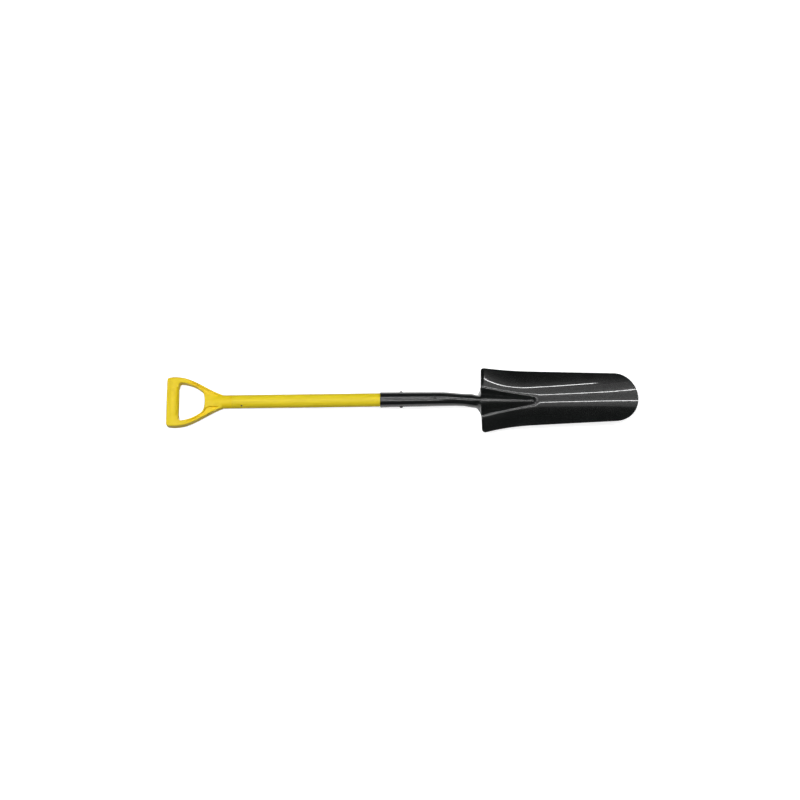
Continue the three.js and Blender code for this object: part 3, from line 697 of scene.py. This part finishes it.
def surface_net(field, low, cell):
    """The surface where a field of distances is nought, as points and four-sided faces."""
    inside = field < 0
    shape = tuple(n - 1 for n in field.shape)
    total, crossings = np.zeros((*shape, 3)), np.zeros(shape)

    def part(array, corner):
        return array[tuple(slice(c, c + n) for c, n in zip(corner, shape))]

    for corner in product((0, 1), repeat=3):
        for axis in range(3):
            if corner[axis]:
                continue
            other = tuple(c + (k == axis) for k, c in enumerate(corner))
            crossed = part(inside, corner) != part(inside, other)
            a, b = part(field, corner)[crossed], part(field, other)[crossed]
            at = np.tile(np.array(corner, float), (len(a), 1))
            at[:, axis] = a / (a - b)
            total[crossed] += at
            crossings[crossed] += 1
    used = crossings > 0
    numbers = np.full(shape, -1)
    numbers[used] = np.arange(used.sum())
    points = low + (np.argwhere(used) + total[used] / crossings[used][:, None]) * cell
    faces = []
    step = np.eye(3, dtype=int)
    for axis in range(3):
        b, c = (axis + 1) % 3, (axis + 2) % 3
        first = inside[tuple(slice(0, -1) if k == axis else slice(None) for k in range(3))]
        second = inside[tuple(slice(1, None) if k == axis else slice(None) for k in range(3))]
        edges = np.argwhere(first != second)
        edges = edges[(edges[:, b] > 0) & (edges[:, c] > 0)]
        edges = edges[(edges[:, b] < shape[b]) & (edges[:, c] < shape[c])]
        ring = [edges - step[b] - step[c], edges - step[c], edges, edges - step[b]]
        quad = np.stack([numbers[tuple(r.T)] for r in ring], axis=1)
        inward = first[tuple(edges.T)]
        quad[~inward] = quad[~inward][:, ::-1]
        faces.append(quad)
    return points, np.vstack(faces)


def make_grip(material):
    end = GRIP_NECK_END + SPIGOT_LENGTH
    low = np.array([-GRIP_MARGIN, -GRIP_REACH_Y, -GRIP_REACH_Z], float)
    high = np.array([end + GRIP_MARGIN, GRIP_REACH_Y, GRIP_REACH_Z], float)
    axes = [np.arange(a, b, GRIP_CELL) for a, b in zip(low, high)]
    points, faces = surface_net(grip_field(*np.meshgrid(*axes, indexing="ij")), low, GRIP_CELL)
    add_piece("moulded_grip", points, faces, material, "grip")


# ---- materials ----
COAT_DARK, COAT_DUSTY = (0.0022, 0.0026, 0.0025), (0.0042, 0.005, 0.0048)
COAT_SPECK = (0.045, 0.052, 0.048)
FIBRE_DEEP, FIBRE_PALE, FIBRE_TINT = (0.79, 0.60, 0.014), (0.90, 0.72, 0.022), (0.88, 0.65, 0.014)
PLASTIC_DEEP, PLASTIC_PALE = (0.84, 0.61, 0.008), (0.90, 0.68, 0.014)
WOOD_DARK, WOOD_PALE = (0.36, 0.22, 0.09), (0.58, 0.41, 0.20)
PIN_DARK, PIN_PALE = (0.18, 0.14, 0.06), (0.34, 0.27, 0.13)
FLOOR_DARK, FLOOR_PALE = (0.86, 0.86, 0.86), (0.88, 0.88, 0.88)


class Look:
    """A material's node tree, with short calls for the nodes that the looks below share."""

    def __init__(self, name, roughness, metallic=0.0, specular=0.5):
        self.material = bpy.data.materials.new(name)
        self.material.use_nodes = True
        self.nodes = self.material.node_tree.nodes
        self.links = self.material.node_tree.links
        self.shader = self.nodes["Principled BSDF"]
        self.shader.inputs["Roughness"].default_value = roughness
        self.shader.inputs["Metallic"].default_value = metallic
        self.shader.inputs["Specular IOR Level"].default_value = specular
        self.place = self.nodes.new("ShaderNodeTexCoord").outputs["Object"]

    def stretched(self, scale):
        node = self.nodes.new("ShaderNodeMapping")
        node.inputs["Scale"].default_value = scale
        self.links.new(self.place, node.inputs["Vector"])
        return node.outputs["Vector"]

    def noise(self, scale, detail=2.0, rough=0.5, vector=None):
        node = self.nodes.new("ShaderNodeTexNoise")
        node.inputs["Scale"].default_value = scale
        node.inputs["Detail"].default_value = detail
        node.inputs["Roughness"].default_value = rough
        self.links.new(vector or self.place, node.inputs["Vector"])
        return node.outputs["Fac"]

    def cells(self, scale):
        node = self.nodes.new("ShaderNodeTexVoronoi")
        node.feature = "SMOOTH_F1"
        node.inputs["Scale"].default_value = scale
        self.links.new(self.place, node.inputs["Vector"])
        return node.outputs["Distance"]

    def ranged(self, value, low, high, to_low=0.0, to_high=1.0):
        node = self.nodes.new("ShaderNodeMapRange")
        for name, number in (("From Min", low), ("From Max", high), ("To Min", to_low), ("To Max", to_high)):
            node.inputs[name].default_value = number
        self.links.new(value, node.inputs["Value"])
        return node.outputs["Result"]

    def math(self, kind, a, b):
        node = self.nodes.new("ShaderNodeMath")
        node.operation = kind
        for socket, value in zip(node.inputs, (a, b)):
            if isinstance(value, (int, float)):
                socket.default_value = value
            else:
                self.links.new(value, socket)
        return node.outputs["Value"]

    def blend(self, factor, first, second):
        node = self.nodes.new("ShaderNodeMix")
        node.data_type = "RGBA"
        self.links.new(factor, node.inputs["Factor"])
        for socket, value in ((node.inputs[6], first), (node.inputs[7], second)):
            if isinstance(value, tuple):
                socket.default_value = (*value, 1)
            else:
                self.links.new(value, socket)
        return node.outputs[2]

    def height_above(self, point, direction):
        """Distance from a plane through a point, with the direction that the plane faces."""
        offset = self.nodes.new("ShaderNodeVectorMath")
        offset.operation = "SUBTRACT"
        offset.inputs[1].default_value = point
        self.links.new(self.place, offset.inputs[0])
        node = self.nodes.new("ShaderNodeVectorMath")
        node.operation = "DOT_PRODUCT"
        node.inputs[1].default_value = direction
        self.links.new(offset.outputs["Vector"], node.inputs[0])
        return node.outputs["Value"]

    def bump(self, height, depth, strength=1.0, under=None):
        node = self.nodes.new("ShaderNodeBump")
        node.inputs["Strength"].default_value = strength
        node.inputs["Distance"].default_value = depth
        self.links.new(height, node.inputs["Height"])
        if under:
            self.links.new(under, node.inputs["Normal"])
        return node.outputs["Normal"]

    def set(self, name, value):
        self.links.new(value, self.shader.inputs[name])


def coated_steel():
    """Gloss black powder coat: orange peel, a fine grain that sparkles, and faint dust."""
    look = Look("black_powder_coat", roughness=0.35, specular=0.1)
    look.shader.inputs["Coat Weight"].default_value = 0.95
    look.shader.inputs["Coat Roughness"].default_value = 0.025
    grain = look.noise(scale=1500, detail=2, rough=0.6)
    speck = look.ranged(grain, 0.56, 0.72)
    dust = look.ranged(look.noise(scale=14, detail=4, rough=0.6), 0.35, 0.75)
    dark = look.blend(dust, COAT_DARK, COAT_DUSTY)
    look.set("Base Color", look.blend(look.math("MULTIPLY", speck, 0.5), dark, COAT_SPECK))
    patches = look.ranged(look.noise(scale=40, detail=3), 0.3, 0.7, to_low=0.2, to_high=0.3)
    sparkle = look.ranged(grain, 0.4, 0.75, to_low=0, to_high=0.16)
    look.set("Roughness", look.math("ADD", patches, sparkle))
    orange_peel = look.noise(scale=420)
    coat_peel = look.bump(orange_peel, depth=0.00004, strength=0.3)
    look.set("Coat Normal", look.bump(grain, depth=0.00002, strength=0.3, under=coat_peel))
    peel = look.bump(orange_peel, depth=0.00012, strength=0.5)
    look.set("Normal", look.bump(grain, depth=0.00007, strength=0.55, under=peel))
    return look.material


def fibreglass():
    """Pultruded yellow tube: fine lengthways fibres under resin, a little uneven in colour and gloss."""
    look = Look("yellow_fibreglass", roughness=0.4, specular=0.1)
    fibres = look.noise(scale=260, detail=4, rough=0.65, vector=look.stretched((0.06, 1, 1)))
    patches = look.noise(scale=9, detail=3, vector=look.stretched((0.5, 1, 1)))
    body = look.blend(look.ranged(fibres, 0.3, 0.7), FIBRE_DEEP, FIBRE_PALE)
    tinted = look.ranged(patches, 0.4, 0.8, to_low=0, to_high=0.35)
    look.set("Base Color", look.blend(tinted, body, FIBRE_TINT))
    look.set("Roughness", look.ranged(look.noise(scale=60, detail=4), 0.3, 0.7, to_low=0.34, to_high=0.5))
    weave = look.bump(fibres, depth=0.00009, strength=0.6)
    look.set("Normal", look.bump(look.noise(scale=900), depth=0.00003, strength=0.4, under=weave))
    return look.material


def moulded_plastic():
    """Moulded yellow plastic: a fine spark-eroded grain, slow sink marks and a parting line."""
    look = Look("yellow_moulded_plastic", roughness=0.45, specular=0.11)
    blotch = look.ranged(look.noise(scale=22, detail=3), 0.35, 0.7)
    look.set("Base Color", look.blend(blotch, PLASTIC_DEEP, PLASTIC_PALE))
    look.set("Roughness", look.ranged(look.noise(scale=90, detail=4), 0.3, 0.7, to_low=0.38, to_high=0.54))
    middle = look.math("ABSOLUTE", look.height_above(start, out), 0)
    line = look.ranged(middle, 0.0, 0.0006, to_low=1, to_high=0)
    parting = look.bump(line, depth=0.00018, strength=0.8)
    sink = look.bump(look.noise(scale=35), depth=0.0006, strength=0.35, under=parting)
    look.set("Normal", look.bump(look.cells(scale=1400), depth=0.00004, strength=0.5, under=sink))
    return look.material


def turned_wood():
    look = Look("dowel_wood", roughness=0.7)
    rings = look.noise(scale=160, detail=4, rough=0.6, vector=look.stretched((0.05, 1, 1)))
    look.set("Base Color", look.blend(look.ranged(rings, 0.3, 0.7), WOOD_DARK, WOOD_PALE))
    look.set("Normal", look.bump(rings, depth=0.0002, strength=0.6))
    return look.material


def spring_steel():
    look = Look("spring_steel", roughness=0.35, metallic=1.0)
    marks = look.noise(scale=900, detail=3, rough=0.6, vector=look.stretched((1, 1, 0.08)))
    look.set("Base Color", look.blend(marks, PIN_DARK, PIN_PALE))
    look.set("Roughness", look.ranged(marks, 0.3, 0.7, to_low=0.28, to_high=0.46))
    look.set("Normal", look.bump(marks, depth=0.00003, strength=0.5))
    return look.material


def pale_floor():
    look = Look("pale_floor", roughness=0.9, specular=0.1)
    look.shader.inputs["Emission Strength"].default_value = 0.7
    look.shader.inputs["Emission Color"].default_value = (1, 1, 1, 1)
    look.set("Base Color", look.blend(look.noise(scale=3), FLOOR_DARK, FLOOR_PALE))
    return look.material


# ---- studio ----
FLOOR_SIZE = 120
LAMP_DISTANCE = 2.2
LAMPS_FROM, LAMPS_TO = -2.2, 2.0
TUBE_WIDTH, GLINT = 0.045, 2.4
TUBES = (("far_tube", 20, LAMPS_TO, 18), ("middle_tube", -4, LAMPS_TO, 18), ("near_tube", -26.5, 0.48, 12.5))
PANEL_ANGLE, PANEL_WIDTH, PANEL_POWER = 6, 2.4, 16.5
ROOM_COLOUR, ROOM_STRENGTH, BACKDROP_COLOUR = (0.95, 0.98, 1, 1), 0.07, (0.96, 0.96, 0.96, 1)
VIEW_DISTANCE = 4.0
VIEW_AZIMUTH, VIEW_ELEVATION, VIEW_ROLL = -3.6, 75.3, -0.52
PIXELS_PER_METRE = 383.6
FRAME_PIXELS, SENSOR_WIDTH = 800, 36
VIEW_SHIFT = (-0.0032, 0.0038)


def add_floor():
    bpy.ops.mesh.primitive_plane_add(size=FLOOR_SIZE, location=(0, 0, cad_box[0].z))
    floor = bpy.context.object
    floor.name = "studio_floor"
    floor.data.materials.append(pale_floor())
    floor.visible_diffuse = False


def add_lamp(name, angle, ends, width, power):
    """A long lamp that runs along the shovel, at an angle from straight up towards the far side."""
    data = bpy.data.lights.new(name, "AREA")
    data.shape = "RECTANGLE"
    data.size, data.size_y = ends[1] - ends[0], width
    data.energy = power
    lamp = bpy.data.objects.new(name, data)
    scene.collection.objects.link(lamp)
    tilt = math.radians(angle)
    lamp.location = (sum(ends) / 2, math.sin(tilt) * LAMP_DISTANCE, math.cos(tilt) * LAMP_DISTANCE)
    lamp.rotation_euler = (-tilt, 0, 0)
    return lamp


def add_camera():
    data = bpy.data.cameras.new("photo_view")
    data.sensor_width = SENSOR_WIDTH
    data.lens = PIXELS_PER_METRE * VIEW_DISTANCE / FRAME_PIXELS * SENSOR_WIDTH
    data.shift_x, data.shift_y = VIEW_SHIFT
    camera = bpy.data.objects.new("photo_view", data)
    scene.collection.objects.link(camera)
    azimuth, elevation, roll = (math.radians(a) for a in (VIEW_AZIMUTH, VIEW_ELEVATION, VIEW_ROLL))
    back = Vector((math.sin(azimuth) * math.cos(elevation), -math.cos(azimuth) * math.cos(elevation),
                   math.sin(elevation)))
    right = Vector((0, 1, 0)).cross(back).normalized()
    up = back.cross(right)
    turned_right = right * math.cos(roll) + up * math.sin(roll)
    turned_up = up * math.cos(roll) - right * math.sin(roll)
    matrix = Matrix((turned_right, turned_up, back)).transposed().to_4x4()
    matrix.translation = back * VIEW_DISTANCE
    camera.matrix_world = matrix
    scene.camera = camera


def add_world():
    """A dim room, with a pale background behind the shovel."""
    world = bpy.data.worlds.new("studio")
    world.use_nodes = True
    tree = world.node_tree
    room = tree.nodes["Background"]
    room.inputs["Color"].default_value = ROOM_COLOUR
    room.inputs["Strength"].default_value = ROOM_STRENGTH
    backdrop = tree.nodes.new("ShaderNodeBackground")
    backdrop.inputs["Color"].default_value = BACKDROP_COLOUR
    seen = tree.nodes.new("ShaderNodeLightPath")
    choice = tree.nodes.new("ShaderNodeMixShader")
    tree.links.new(seen.outputs["Is Camera Ray"], choice.inputs[0])
    tree.links.new(room.outputs[0], choice.inputs[1])
    tree.links.new(backdrop.outputs[0], choice.inputs[2])
    tree.links.new(choice.outputs[0], tree.nodes["World Output"].inputs["Surface"])
    scene.world = world


def add_studio():
    add_camera()
    add_floor()
    scene.view_settings.view_transform = "Standard"
    add_world()
    for name, angle, end, power in TUBES:
        add_lamp(name, angle, (LAMPS_FROM, end), TUBE_WIDTH, power)
        glint = add_lamp(f"{name}_glint", angle, (LAMPS_FROM, end), TUBE_WIDTH, power * GLINT)
        glint.visible_diffuse = False
    add_lamp("soft_panel", PANEL_ANGLE, (LAMPS_FROM, LAMPS_TO), PANEL_WIDTH, PANEL_POWER)


# ---- the shovel ----
add_studio()
black = coated_steel()
make_pressing(black)
make_plate(black)
make_weld(black)
make_rivet("cross_rivet", "socket_cross_rivet", CROSS_RIVET_X, AXIS_ACROSS, black)
make_rivet("face_rivet", "socket_face_rivet", FACE_RIVET_X, AXIS_OUT, black)
make_shaft(fibreglass())
make_grip(moulded_plastic())
make_grip_pin(spring_steel())
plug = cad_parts["shaft_plug"]
plug.data.materials.clear()
plug.data.materials.append(turned_wood())
